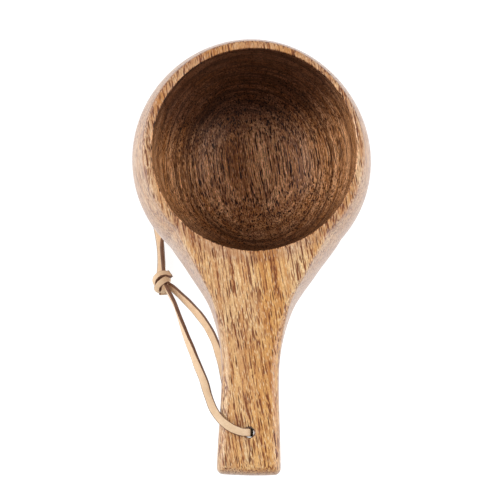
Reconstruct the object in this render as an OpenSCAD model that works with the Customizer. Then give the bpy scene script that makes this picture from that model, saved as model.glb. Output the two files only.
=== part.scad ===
// Kuksa: a wooden drinking cup carved in one piece with its handle, and a
// leather lace through the handle.  Origin at the middle of the foot, +Z up,
// handle along -Y.  Distances along the handle are measured from the bowl's axis.

/* [Bowl] */
// Height from the foot to the rim
cup_h = 62; // [58:1:66]
// Greatest outside diameter, at the belly
belly_d = 100; // [97:1:106]
// Height of the belly above the foot
belly_z = 42; // [38:1:45]
// Outside diameter of the rim
rim_d = 90; // [88:1:92]
// Thickness of the wall at the rim
rim_wall = 3.5; // [3:0.5:5]
// Diameter of the flat foot
foot_d = 54; // [48:1:60]
// Depth of the hollow below the rim
bowl_depth = 53; // [46:1:54]
// Radius of the rounding on the rim's two edges
rim_round = 1.2; // [0.8:0.1:1.4]

/* [Handle] */
// Distance from the bowl's axis to the handle's tip
reach = 131; // [128:1:140]
// Width of the handle at its waist
waist_w = 23; // [20:0.5:26]
// Width of the handle at its tip
tip_w = 25.5; // [24:0.5:29]
// Radius of the sweep, seen from above, from the bowl into the waist
flare_r = 83; // [74:1:90]
// Thickness of the handle at and beyond its waist
handle_t = 10.5; // [9.5:0.5:12]
// How far the handle's top dips below the rim
dip = 4.5; // [3:0.5:6]
// How far the top bows down over the last stretch to the tip
tip_droop = 1.5; // [0:0.25:2]
// Depth below the rim at which the handle's underside leaves the bowl
root_depth = 44; // [40:1:48]

/* [Lanyard hole] */
// Diameter of the hole
hole_d = 4; // [3.8:0.1:5]
// Width of the chamfer at both ends of the hole
hole_chamfer = 0.7; // [0.4:0.1:0.9]

/* [Lace] */
// Diameter of the round tube that stands for the flat lace
lace_d = 2.6; // [2:0.1:2.6]
// Width of the flat lace, seen at its two cut ends
lace_w = 3.3; // [3:0.1:3.6]
// Thickness of the flat lace, seen at its two cut ends
lace_t = 1.6; // [1.4:0.1:1.8]
// Diameter of the knot
knot_d = 8; // [7:0.5:8.4]

/* [Hidden] */
$fn = 96;
wood = "burlywood";
leather = "tan";
eps = 0.5;

// The bowl's outside is two elliptic arcs that meet at the belly, and its
// hollow is a superellipse, rounder at the wall than at the floor.
belly_r = belly_d / 2;
rim_r = rim_d / 2;
foot_r = foot_d / 2;
hollow_r = rim_r - rim_wall;
upper_axis = (cup_h - belly_z) / sqrt(1 - pow(rim_r / belly_r, 2));
lower_axis = belly_z / sqrt(1 - pow(foot_r / belly_r, 2));
hollow_power = 2.8;
foot_round = 1.5;
outline_steps = 14;

// The handle's waist, its dip, the start of the droop at its tip, and the
// hole, which stands where the lace's route passes down.
waist_at = 95;
dip_from = 46;
droop_len = 14;
root_at = 38;
root_power = 2.2;
corner_power = 4;
hole_at = 114;
stations = 26;
section_points = 36;

// Where the two ends of each lace loop enter the knot, and the knot's middle.
knot_at = [-39.5, -48.3, 4.2];
lace_sides = 8;

// From the knot up over the handle's left edge, down through the hole, and
// back below the handle to the knot.
hole_loop_route = [
    [-37.8, -50.1, 5.4], [-36.7, -52.4, 7.2], [-34.9, -55.6, 9.4],
    [-33, -59.3, 12.4], [-31.3, -63.6, 16.5], [-29.3, -68.8, 21.5],
    [-26.9, -74.8, 27], [-24.4, -80.4, 32], [-21.7, -86.9, 38], [-19, -93, 43.5],
    [-16.8, -99.6, 49], [-14.3, -105.4, 54.5], [-10.9, -109.7, 58.6],
    [-7.3, -112.3, 59.5], [-3.7, -113.8, 59], [-1.2, -114, 57.8],
    [-0.2, -114, 55.2], [0.4, -114, 51], [0.8, -114, 47], [0.8, -113.9, 45],
    [-0.8, -113.1, 43.6], [-3.6, -111, 43], [-6.2, -107.2, 42.9],
    [-8.5, -101.4, 42.8], [-10, -94.6, 42], [-11.2, -88.6, 40], [-12.9, -82.2, 36],
    [-15.2, -75.8, 30], [-18.4, -69.6, 23.6], [-22.2, -64.2, 17.8],
    [-26.5, -59.2, 12.4], [-30.6, -55, 7.8], [-34.3, -51.5, 4.4], [-36.5, -50, 3.2],
];

// From the knot, round the foot under the overhang of the belly, and back.
wrist_loop_route = [
    [-40.4, -45, 2.6], [-40.2, -41.8, 1.7], [-40.3, -38, 1.5], [-40.9, -31.5, 1.5],
    [-42.2, -25, 1.5], [-44.2, -17, 1.5], [-45.8, -9, 1.5], [-46.6, 0, 1.5],
    [-46.4, 9, 1.5], [-45, 18, 1.5], [-41.6, 26, 1.5], [-36.5, 33.5, 1.5],
    [-30, 39.6, 1.5], [-22.4, 44.2, 1.5], [-14, 47.2, 1.5], [-6, 48.2, 1.5],
    [1, 47.8, 1.5], [6, 45, 1.5], [7.5, 40.6, 1.5], [5, 36.4, 1.5], [-1, 34.6, 1.5],
    [-9, 33.8, 1.5], [-17, 31, 1.5], [-24, 26, 1.5], [-29.6, 19, 1.5],
    [-33.2, 10.5, 1.5], [-35, 1.5, 1.5], [-36, -8, 1.5], [-37.4, -17, 1.8],
    [-39.1, -25, 2.9], [-40.1, -31.8, 4.2], [-39.4, -39.4, 4.4], [-38.7, -45, 4.8],
];

function unit(v) = v / norm(v);

// A smooth ramp from 0 at a to 1 at b.
function ramp(a, b, x) =
    let (t = min(max((x - a) / (b - a), 0), 1)) t * t * (3 - 2 * t);

// The bowl's outside radius at height z.
function bowl_r(z) =
    z > belly_z ? belly_r * sqrt(1 - pow((z - belly_z) / upper_axis, 2))
    : belly_r * sqrt(1 - pow((belly_z - z) / lower_axis, 2));

// The hollow's radius at depth d below the rim.
function hollow_at(d) =
    hollow_r * pow(1 - pow(d / bowl_depth, hollow_power), 1 / hollow_power);

// Half the handle's width at distance d and height z: the bowl's own circle,
// then an arc tangent to it, then a slow widening from the waist to the tip.
function half_width(d, z) =
    let (r = bowl_r(z), cx = waist_w / 2 + flare_r,
        cy = sqrt(pow(r + flare_r, 2) - cx * cx), tangent = cy * r / (r + flare_r))
    d < tangent ? sqrt(r * r - d * d)
    : d < cy ? cx - sqrt(flare_r * flare_r - pow(cy - d, 2))
    : waist_w / 2 + (tip_w - waist_w) / 2 * ramp(cy, reach, d);

// Height of the handle's top and of its underside at distance d.
function top_z(d) =
    cup_h - dip * ramp(dip_from, waist_at, d)
    - tip_droop * pow(max(0, d - reach + droop_len) / droop_len, 2);
function under_z(d) =
    let (waist_z = cup_h - dip - handle_t, root_z = cup_h - root_depth,
        t = max(0, waist_at - d) / (waist_at - root_at))
    waist_z - (waist_z - root_z) * pow(min(t, 1), root_power);

// One point of the handle's rounded section at distance d and angle a.  The
// scale shrinks the buried root, and narrows the last stretch to a round tip.
function section_point(d, a, shrink) =
    let (u = sign(cos(a)) * pow(abs(cos(a)), 2 / corner_power),
        v = sign(sin(a)) * pow(abs(sin(a)), 2 / corner_power),
        mid = (top_z(d) + under_z(d)) / 2, half = (top_z(d) - under_z(d)) / 2,
        z = mid + half * v * min(1, shrink))
    [half_width(d, z) * u * shrink, -d, z];

module tube_between_rings(rings) {
    sides = len(rings[0]);
    last = len(rings) - 1;
    walls = [
        for (i = [0:last - 1], j = [0:sides - 1])
            let (a = i * sides + j, b = i * sides + (j + 1) % sides)
                each [[a, b, a + sides], [b, b + sides, a + sides]]
    ];
    near_cap = [for (j = [sides - 1:-1:0]) j];
    far_cap = [for (j = [0:sides - 1]) last * sides + j];
    polyhedron([for (ring = rings) each ring], concat([near_cap], walls, [far_cap]));
}

// Frames that do not twist along a route: each ring keeps the last one's
// direction, laid square to the lace.
function tangent_at(route, i) =
    unit(route[min(i + 1, len(route) - 1)] - route[max(i - 1, 0)]);
function ring_sides(route, i, last_side) =
    i == len(route) ? []
    : let (t = tangent_at(route, i), side = unit(last_side - (last_side * t) * t))
        concat([side], ring_sides(route, i + 1, side));

module lace_tube(route, first_side) {
    across = ring_sides(route, 0, first_side);
    rings = [
        for (i = [0:len(route) - 1])
            let (t = tangent_at(route, i), up = cross(t, across[i]))
                [for (j = [0:lace_sides - 1])
                    let (a = -360 * (j + 0.5) / lace_sides)
                        route[i] + lace_d / 2 * (cos(a) * across[i] + sin(a) * up)]
    ];
    tube_between_rings(rings);
}

module bowl_outside() {
    low = [for (i = [1:outline_steps]) let (z = belly_z * i / outline_steps) [bowl_r(z), z]];
    high_top = cup_h - rim_round;
    high = [for (i = [1:outline_steps / 2])
        let (z = belly_z + (high_top - belly_z) * i / (outline_steps / 2)) [bowl_r(z), z]];
    edge = [for (a = [30:30:90])
        [bowl_r(high_top) - rim_round * (1 - cos(a)), high_top + rim_round * sin(a)]];
    rotate_extrude()
        polygon(concat([[0, 0], [foot_r - foot_round, 0]], low, high, edge, [[0, cup_h]]));
}

// The hollow, with the rim's inner edge rounded over and open above the rim.
module bowl_hollow() {
    lip = [for (a = [0:30:90])
        [hollow_r + rim_round * (1 - sin(a)), cup_h - rim_round * (1 - cos(a))]];
    wall = [for (i = [1:outline_steps + 4])
        let (a = 90 * i / (outline_steps + 4), d = bowl_depth * sin(a))
            if (d > 2 * rim_round) [hollow_at(d), cup_h - d]];
    rotate_extrude()
        polygon(concat([[0, cup_h + eps], [hollow_r + rim_round, cup_h + eps]], lip, wall));
}

module handle_blank() {
    root = 30;
    settle = 8;
    edge = 2.5;
    distances = concat(
        [for (i = [0:stations - 1]) root + (reach - edge - root) * i / (stations - 1)],
        [reach - 1, reach - 0.3, reach]);
    rings = [
        for (d = distances)
            let (bury = 0.96 + 0.04 * ramp(root, root + settle, d),
                past = max(0, d - reach + edge) / edge,
                shrink = bury - 0.12 * (1 - sqrt(1 - past * past)))
                [for (j = [0:section_points - 1])
                    section_point(d, -360 * (j + 0.5) / section_points, shrink)]
    ];
    tube_between_rings(rings);
}

module lanyard_hole() {
    top = top_z(hole_at);
    bottom = under_z(hole_at);
    translate([0, -hole_at, 0]) {
        translate([0, 0, bottom - eps]) cylinder(h = top - bottom + 2 * eps, d = hole_d);
        translate([0, 0, top - hole_chamfer])
            cylinder(h = hole_chamfer + eps, d1 = hole_d, d2 = hole_d + 2 * (hole_chamfer + eps));
        translate([0, 0, bottom - eps])
            cylinder(h = hole_chamfer + eps, d1 = hole_d + 2 * (hole_chamfer + eps), d2 = hole_d);
    }
}

// The one carved piece of wood: bowl, handle and lanyard hole.
module cup_body() {
    color(wood) difference() {
        union() {
            bowl_outside();
            handle_blank();
        }
        bowl_hollow();
        lanyard_hole();
    }
}

// The half of the lace that passes through the handle.
module lace_hole_loop() {
    color(leather) lace_tube(hole_loop_route, [1, 0, 0]);
}

// The half of the lace that goes round the wrist.
module lace_wrist_loop() {
    color(leather) lace_tube(wrist_loop_route, [1, 0, 0]);
}

// The knot that ties the two halves together, lying on its side.
module lace_knot() {
    color("peru") translate(knot_at) sphere(d = knot_d);
}

// A cut end of the lace, starting in the knot and pointing along an azimuth.
module lace_stub(azimuth, tilt, length) {
    translate(knot_at) rotate([0, -tilt, azimuth])
        translate([knot_d / 2 - 1, -lace_w / 2, -lace_t / 2]) cube([length, lace_w, lace_t]);
}

module lace_end_upper() {
    color(leather) lace_stub(48, 12, 3.2);
}

module lace_end_lower() {
    color(leather) lace_stub(265, -15, 3.2);
}

cup_body();
lace_hole_loop();
lace_wrist_loop();
lace_knot();
lace_end_upper();
lace_end_lower();
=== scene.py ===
import math

import bpy
import numpy as np
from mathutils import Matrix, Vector


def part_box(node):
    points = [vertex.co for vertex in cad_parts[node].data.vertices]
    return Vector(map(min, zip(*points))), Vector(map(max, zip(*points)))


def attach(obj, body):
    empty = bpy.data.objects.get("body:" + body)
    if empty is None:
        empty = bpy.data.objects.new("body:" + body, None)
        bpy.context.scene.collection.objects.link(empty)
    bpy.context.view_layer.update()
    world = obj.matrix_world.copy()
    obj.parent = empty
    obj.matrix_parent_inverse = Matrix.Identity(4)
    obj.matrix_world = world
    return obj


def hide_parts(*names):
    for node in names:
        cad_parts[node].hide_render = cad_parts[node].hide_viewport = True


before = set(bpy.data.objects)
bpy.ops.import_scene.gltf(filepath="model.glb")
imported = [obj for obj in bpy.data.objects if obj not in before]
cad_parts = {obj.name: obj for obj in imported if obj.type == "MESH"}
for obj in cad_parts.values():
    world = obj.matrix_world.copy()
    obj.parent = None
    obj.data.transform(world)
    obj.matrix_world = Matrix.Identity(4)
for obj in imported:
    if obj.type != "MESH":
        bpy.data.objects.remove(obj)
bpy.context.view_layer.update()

# All shapes are worked out in millimetres, in the CAD's own frame, and every
# mesh is scaled to metres as it is made.  Distances along the handle are
# measured from the bowl's axis, towards -Y.
MM = 0.001
body_low, body_high = (np.array(corner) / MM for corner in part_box("cup_body"))
CUP_H = body_high[2]
BELLY_R = body_high[0]
REACH = -body_low[1]

# The bowl.  Its belly leans a little and is flatter on one side, as carved.
BELLY_Z = 42.0
BELLY_LEAN = (-0.9, -0.6)
FLAT_SIDE = (0.78, 0.63)
FLAT_BY = 1.5
RIM_R = 45.0
FOOT_R = 27.0
FOOT_EDGE = 1.2
RIM_EDGE = 0.8
MOUTH_EDGE = 0.6
HOLLOW_R = 41.5
BOWL_DEPTH = 53.0
HOLLOW_POWER = 2.8
UPPER_AXIS = (CUP_H - BELLY_Z) / math.sqrt(1 - (RIM_R / BELLY_R) ** 2)
LOWER_AXIS = BELLY_Z / math.sqrt(1 - (FOOT_R / BELLY_R) ** 2)

# The handle.
WAIST_HALF = 11.5
TIP_HALF = 12.75
FLARE_R = 83.0
FLARE_FULLER = 1.8
WAIST_AT = 95.0
ROOT_AT = 38.0
HANDLE_FROM = 20.0
ROOT_Z = CUP_H - 44.0
ROOT_POWER = 2.2
ROOT_TUCK = 3.0
HANDLE_T = 10.5
HANDLE_EDGE = 4.8
TIP_EDGE = 2.4
TIP_BOW = 0.003
TOP_EDGE = 4.0
FILLET_R = 11.0
DIP = 4.5
DIP_FROM = 46.0
DROOP = 1.5
DROOP_LEN = 14.0

# The hanging hole, the grain and the lace.
HOLE_AT = 114.0
HOLE_R = 2.0
HOLE_EDGE = 0.8
GRAIN_DIP = math.radians(-3)
GRAIN_SLANT = math.radians(-10)
HEART_DEPTH = 70.0
LACE_W = 3.3
LACE_T = 1.6


# ---------------------------------------------------------------- camera

def look_from(azimuth, elevation, distance, target, focal_mm):
    camera = bpy.data.objects.new("camera", bpy.data.cameras.new("camera"))
    bpy.context.scene.collection.objects.link(camera)
    a, e = math.radians(azimuth), math.radians(elevation)
    away = Vector((math.sin(a) * math.cos(e), -math.cos(a) * math.cos(e), math.sin(e)))
    camera.location = Vector(target) + distance * away
    camera.rotation_euler = (-away).to_track_quat("-Z", "Y").to_euler()
    camera.data.lens = focal_mm
    camera.data.clip_start = 0.01
    bpy.context.scene.camera = camera


look_from(azimuth=1.0, elevation=82.0, distance=0.58, target=(-0.001, -0.0413, 0.06), focal_mm=103.9)


# ---------------------------------------------------------------- helpers

class Shader:
    """Short names for making one material's node tree."""

    def __init__(self, name):
        self.material = bpy.data.materials.new(name)
        self.material.use_nodes = True
        self.tree = self.material.node_tree
        self.surface = self.tree.nodes["Principled BSDF"]

    def node(self, kind, inputs=(), **settings):
        made = self.tree.nodes.new(kind)
        for key, value in settings.items():
            setattr(made, key, value)
        for key, value in dict(inputs).items():
            if isinstance(value, bpy.types.NodeSocket):
                self.tree.links.new(value, made.inputs[key])
            else:
                made.inputs[key].default_value = value
        return made

    def math(self, operation, a, b=0.0):
        return self.node("ShaderNodeMath", {0: a, 1: b}, operation=operation).outputs[0]

    def vector(self, operation, a, b=(0, 0, 0), output=0):
        return self.node("ShaderNodeVectorMath", {0: a, 1: b}, operation=operation).outputs[output]

    def mix(self, factor, a, b, blend="MIX"):
        made = self.node("ShaderNodeMix", {0: factor, 6: a, 7: b}, data_type="RGBA", blend_type=blend)
        return made.outputs[2]

    def noise(self, vector, scale, detail=2.0, roughness=0.5):
        made = self.node("ShaderNodeTexNoise", {"Vector": vector, "Scale": scale, "Detail": detail,
                                                "Roughness": roughness})
        return made.outputs["Fac"]

    def stretch(self, vector, scale):
        return self.node("ShaderNodeMapping", {"Vector": vector, "Scale": scale}).outputs[0]

    def range(self, value, low, high, to_low=0.0, to_high=1.0):
        made = self.node("ShaderNodeMapRange", {0: value, 1: low, 2: high, 3: to_low, 4: to_high})
        return made.outputs[0]

    def pores(self, grain, across, along, size):
        """1 in thin tubes that run along the grain, 0 between them; across and along are per mm."""
        stretched = self.stretch(grain, (across, along, across))
        cells = self.node("ShaderNodeTexVoronoi", {"Vector": stretched, "Scale": 1.0})
        return self.range(cells.outputs["Distance"], 0.7 * size, size, 1.0, 0.0)

    def layers(self, grain, heart_depth):
        """The grain frame with Z bent round a heart far below, so that the layers are shallow arcs."""
        across, along, up = self.node("ShaderNodeSeparateXYZ", {0: grain}).outputs
        deep = self.math("ADD", up, heart_depth)
        square = self.math("ADD", self.math("MULTIPLY", across, across), self.math("MULTIPLY", deep, deep))
        bent = {0: across, 1: along, 2: self.math("SQRT", square)}
        return self.node("ShaderNodeCombineXYZ", bent).outputs[0]

    def set(self, **inputs):
        for key, value in inputs.items():
            socket = self.surface.inputs[key.replace("_", " ")]
            if isinstance(value, bpy.types.NodeSocket):
                self.tree.links.new(value, socket)
            else:
                socket.default_value = value


def mesh_object(name, vertices, faces, normals=None):
    mesh = bpy.data.meshes.new(name)
    mesh.from_pydata((np.asarray(vertices) * MM).tolist(), [], faces)
    mesh.validate()
    mesh.shade_smooth()
    if normals is not None:
        mesh.normals_split_custom_set_from_vertices(normals.tolist())
    piece = bpy.data.objects.new(name, mesh)
    bpy.context.scene.collection.objects.link(piece)
    return piece


def leather_material(name, colour, dark, roughness, grain_depth):
    """Vegetable-tanned leather: a fine pebbled grain over slow changes of tone."""
    s = Shader(name)
    place = s.node("ShaderNodeTexCoord").outputs["Object"]
    tone = s.noise(place, 260.0, 3.0)
    grain = s.noise(place, 2600.0, 3.0, 0.6)
    shade = s.math("ADD", s.range(tone, 0.3, 0.7, 0.0, 0.5), s.range(grain, 0.35, 0.65, 0.0, 0.5))
    bump = s.node("ShaderNodeBump", {"Height": grain, "Strength": grain_depth, "Distance": 0.0002}).outputs[0]
    s.set(Base_Color=s.mix(shade, dark, colour), Roughness=roughness, Normal=bump)
    return s.material


smooth_leather = leather_material("smooth_leather", (0.82, 0.60, 0.39, 1), (0.66, 0.44, 0.26, 1), 0.55, 0.4)
cut_leather = leather_material("cut_leather", (0.24, 0.11, 0.055, 1), (0.11, 0.045, 0.022, 1), 0.6, 0.6)
rough_leather = leather_material("rough_leather", (0.80, 0.58, 0.38, 1), (0.62, 0.42, 0.25, 1), 0.85, 0.8)


# ---------------------------------------------------------------- lace

# The lace's two loops start and end in the knot.  The points are the CAD's.
KNOT_AT = np.array([-39.5, -48.3, 4.2])
HOLE_LOOP = [
    (-37.8, -50.1, 5.4), (-36.7, -52.4, 7.2), (-34.9, -55.6, 9.4),
    (-33, -59.3, 12.4), (-31.3, -63.6, 16.5), (-29.3, -68.8, 21.5),
    (-26.9, -74.8, 27), (-24.4, -80.4, 32), (-21.7, -86.9, 38), (-19, -93, 43.5),
    (-16.8, -99.6, 49), (-14.3, -105.4, 54.5), (-10.9, -109.7, 58.6),
    (-7.3, -112.3, 59.5), (-3.7, -113.8, 59), (-1.2, -114, 57.8),
    (-0.2, -114, 55.2), (0.4, -114, 51), (0.8, -114, 47), (0.8, -113.9, 45),
    (-0.8, -113.1, 43.6), (-3.6, -111, 43), (-6.2, -107.2, 42.9),
    (-8.5, -101.4, 42.8), (-10, -94.6, 42), (-11.2, -88.6, 40), (-12.9, -82.2, 36),
    (-15.2, -75.8, 30), (-18.4, -69.6, 23.6), (-22.2, -64.2, 17.8),
    (-26.5, -59.2, 12.4), (-30.6, -55, 7.8), (-34.3, -51.5, 4.4), (-36.5, -50, 3.2),
]
WRIST_LOOP = [
    (-40.4, -45, 2.6), (-40.2, -41.8, 1.7), (-40.3, -38, 1.5), (-40.9, -31.5, 1.5),
    (-42.2, -25, 1.5), (-44.2, -17, 1.5), (-45.8, -9, 1.5), (-46.6, 0, 1.5),
    (-46.4, 9, 1.5), (-45, 18, 1.5), (-41.6, 26, 1.5), (-36.5, 33.5, 1.5),
    (-30, 39.6, 1.5), (-22.4, 44.2, 1.5), (-14, 47.2, 1.5), (-6, 48.2, 1.5),
    (1, 47.8, 1.5), (6, 45, 1.5), (7.5, 40.6, 1.5), (5, 36.4, 1.5), (-1, 34.6, 1.5),
    (-9, 33.8, 1.5), (-17, 31, 1.5), (-24, 26, 1.5), (-29.6, 19, 1.5),
    (-33.2, 10.5, 1.5), (-35, 1.5, 1.5), (-36, -8, 1.5), (-37.4, -17, 1.8),
    (-39.1, -25, 2.9), (-40.1, -31.8, 4.2), (-39.4, -39.4, 4.4), (-38.7, -45, 4.8),
]
# The way the lace's smooth side looks, at fractions of each loop's length.
HOLE_LOOP_LOOKS = [
    (0.00, (-1, -0.3, 0.05)), (0.08, (-1, -0.3, 0.1)), (0.17, (-0.7, -0.25, 0.65)),
    (0.27, (-0.35, -0.1, 0.93)), (0.36, (-0.1, 0, 1)), (0.45, (0, 0, 1)), (0.49, (0.7, 0, 0.7)),
    (0.52, (1, 0, -0.1)), (0.56, (0.6, 0, -0.9)), (0.62, (0.1, 0, -1)), (0.75, (0.35, 0.15, -0.95)),
    (0.88, (0.4, 0.2, -0.9)), (1.00, (0.7, 0.4, -0.5)),
]
WRIST_LOOP_LOOKS = [
    (0.00, (-0.2, 0, 0.98)), (0.06, (-0.2, 0, 0.98)), (0.16, (-0.42, 0, 0.9)), (0.30, (-0.3, 0.3, 0.9)),
    (0.44, (0, 0.42, 0.9)), (0.52, (0.42, 0, 0.9)), (0.60, (0, -0.42, 0.9)), (0.72, (-0.3, 0.3, 0.9)),
    (0.84, (-0.42, 0, 0.9)), (0.92, (-1, 0, 0.1)), (1.00, (-1, 0, 0)),
]


def unit(v):
    return v / np.maximum(np.linalg.norm(v, axis=-1, keepdims=True), 1e-9)


def smooth_path(points, spacing=0.6, closed=False):
    """Evenly spaced points along the smooth curve through the given ones."""
    points = np.array(points, float)
    before, after = (points[-1:], points[:2]) if closed else (points[:1], points[-1:])
    around = np.concatenate([before, points, after])
    t = np.linspace(0, 1, 24, endpoint=False)[:, None]
    dense = [b + 0.5 * ((c - a) * t + (2 * a - 5 * b + 4 * c - d) * t ** 2 + (3 * b - a - 3 * c + d) * t ** 3)
             for a, b, c, d in zip(around, around[1:], around[2:], around[3:])]
    dense = np.concatenate(dense + [around[-2:-1]])
    along = np.insert(np.cumsum(np.linalg.norm(np.diff(dense, axis=0), axis=1)), 0, 0)
    at = np.linspace(0, along[-1], round(along[-1] / spacing) + 1)
    return np.stack([np.interp(at, along, dense[:, k]) for k in range(3)], -1)


def spread(looks, count):
    """One direction for each point of a path, from a few at fractions of its length."""
    at = np.linspace(0, 1, count)
    fractions, directions = zip(*looks)
    return np.stack([np.interp(at, fractions, column) for column in zip(*directions)], -1)


def strip_section(width, thickness):
    """A flat lace's cut face: a rounded oblong, its smooth side first and slightly domed."""
    corner = 0.42 * thickness / 2
    section = []
    for turn, (sx, sy) in zip((0, 90, 180, 270), ((1, 1), (-1, 1), (-1, -1), (1, -1))):
        for angle in (15, 45, 75):
            a = math.radians(turn + angle)
            x = sx * (width / 2 - corner) + corner * math.cos(a)
            y = sy * (thickness / 2 - corner) + corner * math.sin(a)
            section.append((x, y))
        if turn in (0, 180):
            crown = sy * (thickness / 2 + 0.05)
            section += [(sx * width / 6, crown), (-sx * width / 6, crown)]
    return np.array(section)


def lay_strip(name, path, looks, width=LACE_W, thickness=LACE_T, closed=False):
    """A flat lace along a path, whose faces are marked 0 on the smooth side, 1 on the cuts, 2 on the back."""
    tangent = unit(np.gradient(path, axis=0))
    if closed:
        path = path[:-1]
        looks = looks[:-1]
        tangent = unit(np.roll(path, -1, axis=0) - np.roll(path, 1, axis=0))
    face = unit(looks - np.sum(looks * tangent, -1, keepdims=True) * tangent)
    side = np.cross(tangent, face)
    section = strip_section(width, thickness)
    at = np.arange(len(path))
    wide = 1 + 0.03 * np.sin(at * 0.31) + 0.03 * np.sin(at * 0.13 + 1)
    rings = path[:, None] + section[None, :, :1] * wide[:, None, None] * side[:, None]
    rings = rings + section[None, :, 1:] * face[:, None]
    n, m = len(path), len(section)
    quads = []
    marks = []
    for i in range(n if closed else n - 1):
        for j in range(m):
            after, beside = (i + 1) % n, (j + 1) % m
            quads.append((i * m + j, i * m + beside, after * m + beside, after * m + j))
            marks.append(0 if 2 <= j < 5 else 2 if 10 <= j < 13 else 1)
    if not closed:
        quads += [tuple(range(m))[::-1], tuple(range((n - 1) * m, n * m))]
        marks += [1, 1]
    piece = mesh_object(name, rings.reshape(-1, 3), quads)
    piece.data.polygons.foreach_set("material_index", marks)
    for leather in (smooth_leather, cut_leather, rough_leather):
        piece.data.materials.append(leather)
    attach(piece, "root")
    return piece


# The knot's turns, around its own middle: over the top left, under, back over
# on the slant, and a lower pair of lobes.
KNOT_TURNS = [
    (2.7, 3.0, 1.4), (1.2, 3.3, 2.4), (-0.9, 2.7, 3.0), (-2.5, 1.2, 2.5), (-2.9, -0.5, 0.9),
    (-2.1, -1.8, -1.3), (0, -1.9, -2.2), (2.1, -0.9, -1.4), (2.8, 0.5, 0.6), (1.9, 0.9, 2.4),
    (0.3, -0.1, 2.9), (-1.3, -1.6, 2.4), (-1.9, -3.2, 1.1), (-1.0, -3.9, -0.5), (0.5, -3.7, 0.4),
    (1.1, -2.5, 2.0), (1.3, -0.9, 1.4), (0.9, 0.9, -0.3), (1.3, 2.4, -1.5), (2.6, 3.4, -0.4),
]


def tie_lace():
    hole_path, wrist_path = smooth_path(HOLE_LOOP), smooth_path(WRIST_LOOP)
    hole_loop = lay_strip("hole_loop", hole_path, spread(HOLE_LOOP_LOOKS, len(hole_path)))
    wrist_loop = lay_strip("wrist_loop", wrist_path, spread(WRIST_LOOP_LOOKS, len(wrist_path)))
    turns = smooth_path(KNOT_TURNS, 0.35, closed=True)
    knot = lay_strip("knot", turns + KNOT_AT, unit(turns) + (0, 0, 0.35), 2.9, 1.7, closed=True)
    upper = smooth_path([(1.2, 1.8, 0.2), (2.4, 2.8, 0.6), (3.7, 3.8, 0.8)], 0.35) + KNOT_AT
    lower = smooth_path([(0.3, -2.2, -1.0), (0.4, -3.8, -1.4), (0.4, -5.4, -1.9)], 0.35) + KNOT_AT
    upper_end = lay_strip("upper_end", upper, spread([(0, (-0.3, 0.3, 1)), (1, (-0.3, 0.3, 1))], len(upper)))
    lower_end = lay_strip("lower_end", lower, spread([(0, (0.5, 0, 1)), (1, (0.5, 0, 1))], len(lower)))
    for piece, node in ((hole_loop, "lace_hole_loop"), (wrist_loop, "lace_wrist_loop"), (knot, "lace_knot"),
                        (upper_end, "lace_end_upper"), (lower_end, "lace_end_lower")):
        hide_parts(node)


tie_lace()


# ---------------------------------------------------------------- carved body

def ramp(a, b, x):
    t = np.clip((x - a) / (b - a), 0, 1)
    return t * t * (3 - 2 * t)


def join_round(a, b, r):
    """The union of two fields, with a fillet of radius r where they meet."""
    u, v = np.maximum(r - a, 0), np.maximum(r - b, 0)
    return np.maximum(r, np.minimum(a, b)) - np.hypot(u, v)


def cut_round(a, b, r):
    """The intersection of two fields, with its edge rounded to radius r."""
    u, v = np.maximum(r + a, 0), np.maximum(r + b, 0)
    return np.minimum(-r, np.maximum(a, b)) + np.hypot(u, v)


def bowl_radius(z):
    """Outside radius of the bowl at height z."""
    axis = np.where(z > BELLY_Z, UPPER_AXIS, LOWER_AXIS)
    return BELLY_R * np.sqrt(np.maximum(1 - ((z - BELLY_Z) / axis) ** 2, 0.05))


def half_width(d, z):
    """Half the handle's width: the bowl's circle, an arc tangent to it, then a slow widening."""
    r = bowl_radius(z)
    cx = WAIST_HALF + FLARE_R
    cy = np.sqrt((r + FLARE_R) ** 2 - cx ** 2)
    circle = np.sqrt(np.maximum(r * r - d * d, 1))
    arc = cx - np.sqrt(np.maximum(FLARE_R ** 2 - (cy - d) ** 2, 0))
    neck = WAIST_HALF + (TIP_HALF - WAIST_HALF) * ramp(cy, REACH, d)
    fuller = FLARE_FULLER * ramp(30, 43, d) * ramp(64, 48, d) - ROOT_TUCK * ramp(38, 24, d)
    return fuller + np.where(d < cy * r / (r + FLARE_R), circle, np.where(d < cy, arc, neck))


def top_z(d):
    droop = DROOP * (np.maximum(0, d - REACH + DROOP_LEN) / DROOP_LEN) ** 2
    return CUP_H - DIP * ramp(DIP_FROM, WAIST_AT, d) - droop


def under_z(d):
    waist_z = CUP_H - DIP - HANDLE_T
    t = np.minimum(np.maximum(0, WAIST_AT - d) / (WAIST_AT - ROOT_AT), 1)
    return waist_z - (waist_z - ROOT_Z) * t ** ROOT_POWER


def slope(f, x, *rest):
    h = 0.25
    return (f(x + h, *rest) - f(x - h, *rest)) / (2 * h)


def gradient(field, p):
    """A field's unit gradient at each point."""
    h = 0.05
    g = np.stack([field(p + h * e) - field(p - h * e) for e in np.eye(3)], -1)
    return g / np.maximum(np.linalg.norm(g, axis=-1, keepdims=True), 1e-9)


def bowl_field(p):
    z = p[..., 2]
    lean = ramp(CUP_H, BELLY_Z, z) * ramp(0, BELLY_Z, z)
    x, y = p[..., 0] - lean * BELLY_LEAN[0], p[..., 1] - lean * BELLY_LEAN[1]
    towards = (x * FLAT_SIDE[0] + y * FLAT_SIDE[1]) / np.maximum(np.hypot(x, y), 1)
    flat = FLAT_BY * np.maximum(towards, 0) ** 4
    axis = np.where(z > BELLY_Z, UPPER_AXIS, LOWER_AXIS)
    r, h = np.hypot(x, y) + flat, z - BELLY_Z
    k0 = np.hypot(r / BELLY_R, h / axis)
    k1 = np.hypot(r / BELLY_R ** 2, h / axis ** 2)
    return k0 * (k0 - 1) / np.maximum(k1, 1e-6)


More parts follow.
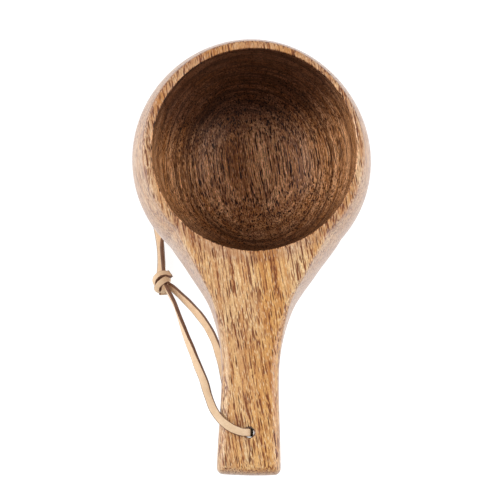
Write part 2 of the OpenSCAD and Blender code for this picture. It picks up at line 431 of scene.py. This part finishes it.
def handle_field(p):
    x, d, z = np.abs(p[..., 0]), -p[..., 1], p[..., 2]
    sides = (x - half_width(d, z)) / np.sqrt(1 + slope(half_width, d, z) ** 2)
    below = (under_z(d) - z) / np.sqrt(1 + slope(under_z, d) ** 2)
    tip = d + TIP_BOW * x * x - REACH
    handle = cut_round(cut_round(sides, below, HANDLE_EDGE), tip, TIP_EDGE)
    return np.maximum(handle, HANDLE_FROM - d)


def hollow_field(p):
    r = np.hypot(p[..., 0], p[..., 1])
    depth = np.maximum(CUP_H - p[..., 2], 0)
    n = HOLLOW_POWER
    k = np.maximum((r / HOLLOW_R) ** n + (depth / BOWL_DEPTH) ** n, 1e-6) ** (1 / n)
    steep = k ** (1 - n) * np.hypot(r ** (n - 1) / HOLLOW_R ** n, depth ** (n - 1) / BOWL_DEPTH ** n)
    return (k - 1) / np.maximum(steep, 0.01)


def wood_field(p, blend=True):
    """Signed distance, near enough, to the whole carved piece: negative inside the wood."""
    d = -p[..., 1]
    bowl, handle = bowl_field(p), handle_field(p)
    if blend:
        meeting = 1 - np.sum(gradient(bowl_field, p) * gradient(handle_field, p), -1)
        fillet = FILLET_R * np.clip(meeting, 0, 1) * ramp(30, 44, d)
        wood = join_round(bowl, handle, fillet + 1e-6)
    else:
        wood = np.minimum(bowl, handle)
    wood = cut_round(wood, -p[..., 2], FOOT_EDGE)
    wood = cut_round(wood, p[..., 2] - top_z(d), RIM_EDGE + (TOP_EDGE - RIM_EDGE) * ramp(48, 88, d))
    wood = cut_round(wood, -hollow_field(p), MOUTH_EDGE)
    drill = np.hypot(p[..., 0], d - HOLE_AT) - HOLE_R
    return cut_round(wood, -drill, HOLE_EDGE)


def surface_net(field, low, high, step):
    """Vertices and quads of the field's zero surface, one vertex in each grid cell that it crosses."""
    axes = [np.arange(a, b + step, step) for a, b in zip(low, high)]
    points = np.stack(np.meshgrid(*axes, indexing="ij"), -1)
    values = field(points, blend=False)
    near = np.abs(values) < 6
    values[near] = field(points[near])
    inside = values < 0
    cells = tuple(n - 1 for n in values.shape)
    total = np.zeros(cells + (3,))
    count = np.zeros(cells)
    for axis in range(3):
        for corner in np.ndindex(2, 2):
            start = np.insert(np.array(corner), axis, 0)
            end = np.insert(np.array(corner), axis, 1)
            f0, f1 = (values[tuple(slice(o, o + n) for o, n in zip(c, cells))] for c in (start, end))
            cross = (f0 < 0) != (f1 < 0)
            t = np.where(cross, f0 / np.where(cross, f0 - f1, 1), 0)
            total += cross[..., None] * (start + t[..., None] * (end - start))
            count += cross
    used = count > 0
    index = np.full(cells, -1)
    index[used] = np.arange(used.sum())
    vertices = np.array(low) + step * (np.argwhere(used) + total[used] / count[used][:, None])
    quads = []
    for axis in range(3):
        order = (axis, (axis + 1) % 3, (axis + 2) % 3)
        solid, number = inside.transpose(order), index.transpose(order)
        a, b = solid[:-1, 1:-1, 1:-1], solid[1:, 1:-1, 1:-1]
        ring = np.stack([number[:, :-1, :-1], number[:, 1:, :-1], number[:, 1:, 1:], number[:, :-1, 1:]], -1)
        quads += [ring[a & ~b], ring[b & ~a][:, ::-1]]
    return vertices, np.concatenate(quads)


def settle(field, vertices, quads, rounds):
    """Evens the net out and lays it on the true surface."""
    edges = np.concatenate([quads[:, [i, (i + 1) % 4]] for i in range(4)])
    degree = np.maximum(np.bincount(edges[:, 0], minlength=len(vertices)), 1)[:, None]
    for _ in range(rounds):
        pull = np.stack([np.bincount(edges[:, 0], vertices[edges[:, 1], i], len(vertices))
                         for i in range(3)], -1) / degree - vertices
        normal = gradient(field, vertices)
        pull -= np.sum(pull * normal, -1, keepdims=True) * normal
        vertices = vertices + 0.5 * pull
        vertices = vertices - field(vertices)[:, None] * gradient(field, vertices)
    return vertices


def carve_cup():
    step = 0.9
    margin = 2.5 * step
    vertices, quads = surface_net(wood_field, body_low - margin, body_high + margin, step)
    vertices = settle(wood_field, vertices, quads, rounds=4)
    return mesh_object("carved_cup", vertices, quads.tolist(), gradient(wood_field, vertices))


cup = carve_cup()
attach(cup, "root")
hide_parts("cup_body")


# ---------------------------------------------------------------- wood

def grain_frame(s, place):
    """Millimetres with X across the grain, Y along it and Z through the growth layers."""
    straight = s.node("ShaderNodeMapping", {"Vector": place, "Scale": (1000, 1000, 1000),
                                            "Rotation": (GRAIN_DIP, 0, GRAIN_SLANT)}).outputs[0]
    wander = s.node("ShaderNodeTexNoise", {"Vector": s.stretch(straight, (0.03, 0.006, 0.03)),
                                           "Scale": 1.0}).outputs["Color"]
    shift = s.vector("SUBTRACT", wander, (0.5, 0.5, 0.5))
    return s.node("ShaderNodeVectorMath", {0: shift, 1: (5, 0, 4), 2: straight},
                  operation="MULTIPLY_ADD").outputs[0]


def bare_wood(s, grain, rings, fibres, pores, small_pores):
    """The bare wood's colour: growth bands, darker streaks, light flecks, and pores in broken lines."""
    bands = s.noise(s.stretch(s.layers(grain, HEART_DEPTH), (0.09, 0.006, 0.25)), 1.0, 3.0, 0.6)
    streaks = s.noise(s.stretch(grain, (0.7, 0.012, 0.7)), 1.0, 2.0)
    mottle = s.noise(s.stretch(grain, (2.4, 1.2, 2.4)), 1.0, 2.0, 0.7)
    lines = s.range(s.noise(s.stretch(grain, (1.5, 0.016, 1.5)), 1.0, 1.0), 0.55, 0.60)
    dashes = s.range(s.noise(s.stretch(grain, (1.5, 0.34, 1.5)), 1.0, 1.0), 0.40, 0.50)
    flecks = s.pores(s.stretch(grain, (-1, -1, -1)), across=1.9, along=0.35, size=0.32)
    colour = s.mix(s.range(bands, 0.38, 0.62), (0.82, 0.46, 0.16, 1), (0.93, 0.67, 0.37, 1))
    stains = [
        (s.range(rings, 0.46, 0.58, 0.0, 0.3), (0.50, 0.18, 0.04, 1)),
        (s.range(streaks, 0.50, 0.60, 0.0, 0.45), (0.54, 0.20, 0.045, 1)),
        (s.range(fibres, 0.49, 0.57, 0.0, 0.45), (0.34, 0.10, 0.022, 1)),
        (s.range(mottle, 0.35, 0.62, 0.4, 0.0), (0.34, 0.12, 0.03, 1)),
        (s.math("MULTIPLY", flecks, 0.4), (1.0, 0.88, 0.62, 1)),
        (s.math("MULTIPLY", small_pores, 0.85), (0.24, 0.06, 0.012, 1)),
        (s.math("MULTIPLY", s.math("MULTIPLY", lines, dashes), 0.92), (0.17, 0.038, 0.009, 1)),
        (s.math("MULTIPLY", pores, 0.95), (0.09, 0.02, 0.006, 1)),
    ]
    for amount, stain in stains:
        colour = s.mix(amount, colour, stain)
    return colour


def shade_hollow_and_end_grain(s, colour, hollow, facing, upward, rings):
    """Paints shade into the hollow: darkens it, deepens its contrast and makes it redder, standing in for its
    shade and bounced light. The back and front walls, which cut across the grain, get a further painted
    shade, the steep wall shows the growth rings, and the whole piece is a little darker where it cuts across
    the grain."""
    end_grain = s.range(s.math("ABSOLUTE", facing), 0.16, 0.72)
    # Painted shade on the back and front walls of the hollow, which face along the grain.
    end_wall_shade = s.math("MAXIMUM", s.range(facing, -0.14, -0.62),
                        s.range(facing, 0.35, 0.9, 0.0, 0.8))
    on_wall = s.math("MULTIPLY", s.range(upward, 0.97, 0.75), s.range(rings, 0.47, 0.56, 0.0, 0.62))
    # Painted shade and bounced light: inside the hollow the wood is darkened by its own tone and made redder.
    tone = s.node("ShaderNodeRGBToBW", {0: colour}).outputs[0]
    shaded_inside = s.mix(1.0, s.mix(1.0, colour, tone, "MULTIPLY"), (2.0, 1.6, 1.5, 1), "MULTIPLY")
    shaded_inside = s.mix(on_wall, shaded_inside, (0.05, 0.018, 0.008, 1))
    colour = s.mix(hollow, colour, shaded_inside)
    colour = s.mix(s.math("MULTIPLY", hollow, end_wall_shade), colour, (0.30, 0.26, 0.28, 1), "MULTIPLY")
    return s.mix(s.math("MULTIPLY", end_grain, 0.3), colour, (0.5, 0.4, 0.35, 1), "MULTIPLY")


# Painted shade down the hanging hole: the wood round the bore is darkened nearly to black.
def shade_bore(s, colour, place):
    from_bore = s.vector("SUBTRACT", place, (0, -HOLE_AT * MM, 0))
    from_axis = s.vector("LENGTH", s.vector("MULTIPLY", from_bore, (1, 1, 0)), output="Value")
    bore_shade = s.range(from_axis, (HOLE_R + 0.1) * MM, (HOLE_R + 0.5) * MM, 0.9, 0.0)
    return s.mix(bore_shade, colour, (0.06, 0.025, 0.015, 1))


def wood_material():
    """An open-pored brown hardwood, with shade painted into its hollow."""
    s = Shader("hardwood_painted_shade")
    coordinates = s.node("ShaderNodeTexCoord").outputs
    place, normal = coordinates["Object"], coordinates["Normal"]
    grain = grain_frame(s, place)
    rings = s.noise(s.stretch(s.layers(grain, HEART_DEPTH), (0.02, 0.003, 0.55)), 1.0, 4.0, 0.75)
    fibres = s.noise(s.stretch(grain, (1.9, 0.03, 1.9)), 1.0, 4.0, 0.7)
    pores = s.pores(grain, across=0.9, along=0.07, size=0.22)
    small_pores = s.pores(s.stretch(grain, (-1, 1, -1)), across=1.6, along=0.16, size=0.32)

    # Where the surface is: 1 in the hollow and 0 outside it, how far from the
    # bowl's axis, how deep below the rim, and which way it faces.
    down = s.vector("SUBTRACT", (0, 0, CUP_H * MM), place)
    x, y, depth = s.node("ShaderNodeSeparateXYZ", {0: down}).outputs
    radius = s.math("SQRT", s.math("ADD", s.math("MULTIPLY", x, x), s.math("MULTIPLY", y, y)))
    around = s.math("POWER", s.math("DIVIDE", radius, HOLLOW_R * MM), HOLLOW_POWER)
    below = s.math("DIVIDE", s.math("MAXIMUM", depth, 0.0), BOWL_DEPTH * MM)
    deep = s.math("POWER", below, HOLLOW_POWER)
    hollow = s.range(s.math("ADD", around, deep), 1.02, 1.06, 1.0, 0.0)
    outside = s.math("SUBTRACT", 1.0, hollow)
    along_grain = (math.sin(GRAIN_SLANT), math.cos(GRAIN_SLANT), 0)
    facing = s.vector("DOT_PRODUCT", normal, along_grain, output="Value")
    upward = s.node("ShaderNodeSeparateXYZ", {0: normal}).outputs[2]

    colour = bare_wood(s, grain, rings, fibres, pores, small_pores)
    colour = shade_hollow_and_end_grain(s, colour, hollow, facing, upward, rings)

    # The rim's outer edge is darkened a little, and the steep outer sides are painted greyer: a painted
    # reflection of the bright surroundings.
    lip = s.math("MULTIPLY", s.range(radius, 45.5 * MM, 47.5 * MM, 1.0, 0.0),
                 s.range(depth, 1.5 * MM, 4.0 * MM, 1.0, 0.0))
    # Darkens the rim's outer edge a little.
    colour = s.mix(s.math("MULTIPLY", lip, outside), colour, (0.80, 0.74, 0.78, 1), "MULTIPLY")
    # Painted reflection: the steep outer sides are mixed towards a greyish pink.
    side_reflection_tint = s.math("MULTIPLY", s.range(upward, 0.92, 0.2, 0.0, 0.5), outside)
    colour = s.mix(side_reflection_tint, colour, (0.38, 0.28, 0.24, 1))
    colour = shade_bore(s, colour, place)

    open_grain = s.math("ADD", pores, s.math("MULTIPLY", small_pores, 0.5))
    height = s.math("SUBTRACT", s.math("MULTIPLY", fibres, 0.35), open_grain)
    bump = s.node("ShaderNodeBump", {"Height": height, "Strength": 0.35, "Distance": 0.0002}).outputs[0]
    roughness = s.math("ADD", s.math("MULTIPLY", hollow, 0.14), s.range(open_grain, 0.0, 1.0, 0.30, 0.7))
    gloss = s.math("SUBTRACT", s.range(open_grain, 0.0, 1.0, 0.5, 0.05), s.math("MULTIPLY", hollow, 0.2))
    s.set(Base_Color=colour, Roughness=roughness, Specular_IOR_Level=s.math("MAXIMUM", gloss, 0.0),
          Sheen_Weight=s.math("MULTIPLY", outside, 0.3), Sheen_Roughness=0.45,
          Sheen_Tint=(0.92, 0.88, 0.92, 1), Normal=bump)
    return s.material


cup.data.materials.append(wood_material())


# ---------------------------------------------------------------- floor and light

def paper_floor():
    size = 3.0
    corners = [(-size, -size, 0), (size, -size, 0), (size, size, 0), (-size, size, 0)]
    floor = mesh_object("floor", np.array(corners) / MM, [(0, 1, 2, 3)])
    s = Shader("pale_paper")
    s.set(Base_Color=(0.2, 0.2, 0.2, 1), Roughness=0.9)
    s.set(Emission_Color=(1, 1, 1, 1), Emission_Strength=0.92)
    floor.data.materials.append(s.material)


def studio_sky():
    """A dim tent: darkest overhead and at the horizon, where no soft box stands."""
    world = bpy.data.worlds.new("studio")
    bpy.context.scene.world = world
    world.use_nodes = True
    nodes, links = world.node_tree.nodes, world.node_tree.links
    place = nodes.new("ShaderNodeTexCoord")
    split = nodes.new("ShaderNodeSeparateXYZ")
    tent = nodes.new("ShaderNodeValToRGB")
    links.new(place.outputs["Generated"], split.inputs[0])
    links.new(split.outputs["Z"], tent.inputs[0])
    stops = [(0.0, 0.30), (0.45, 0.35), (0.7, 0.30), (0.88, 0.20)]
    while len(tent.color_ramp.elements) < len(stops):
        tent.color_ramp.elements.new(1.0)
    for element, (height, grey) in zip(tent.color_ramp.elements, stops):
        element.position = height
        element.color = (grey, grey, grey, 1)
    links.new(tent.outputs[0], nodes["Background"].inputs[0])


def soft_box(name, place, target, size, power):
    light = bpy.data.lights.new(name, "AREA")
    light.shape = "RECTANGLE"
    light.size, light.size_y = size
    light.energy = power
    lamp = bpy.data.objects.new(name, light)
    lamp.location = place
    lamp.rotation_euler = (Vector(target) - Vector(place)).to_track_quat("-Z", "Y").to_euler()
    bpy.context.scene.collection.objects.link(lamp)


paper_floor()
studio_sky()
soft_box("left_box", (-0.95, 0.1, 0.75), (0, -0.03, 0.03), (1.1, 1.0), 14.0)
soft_box("right_box", (0.95, -0.05, 0.62), (0, -0.03, 0.03), (1.1, 1.0), 11.0)
bpy.context.scene.view_settings.view_transform = "Standard"
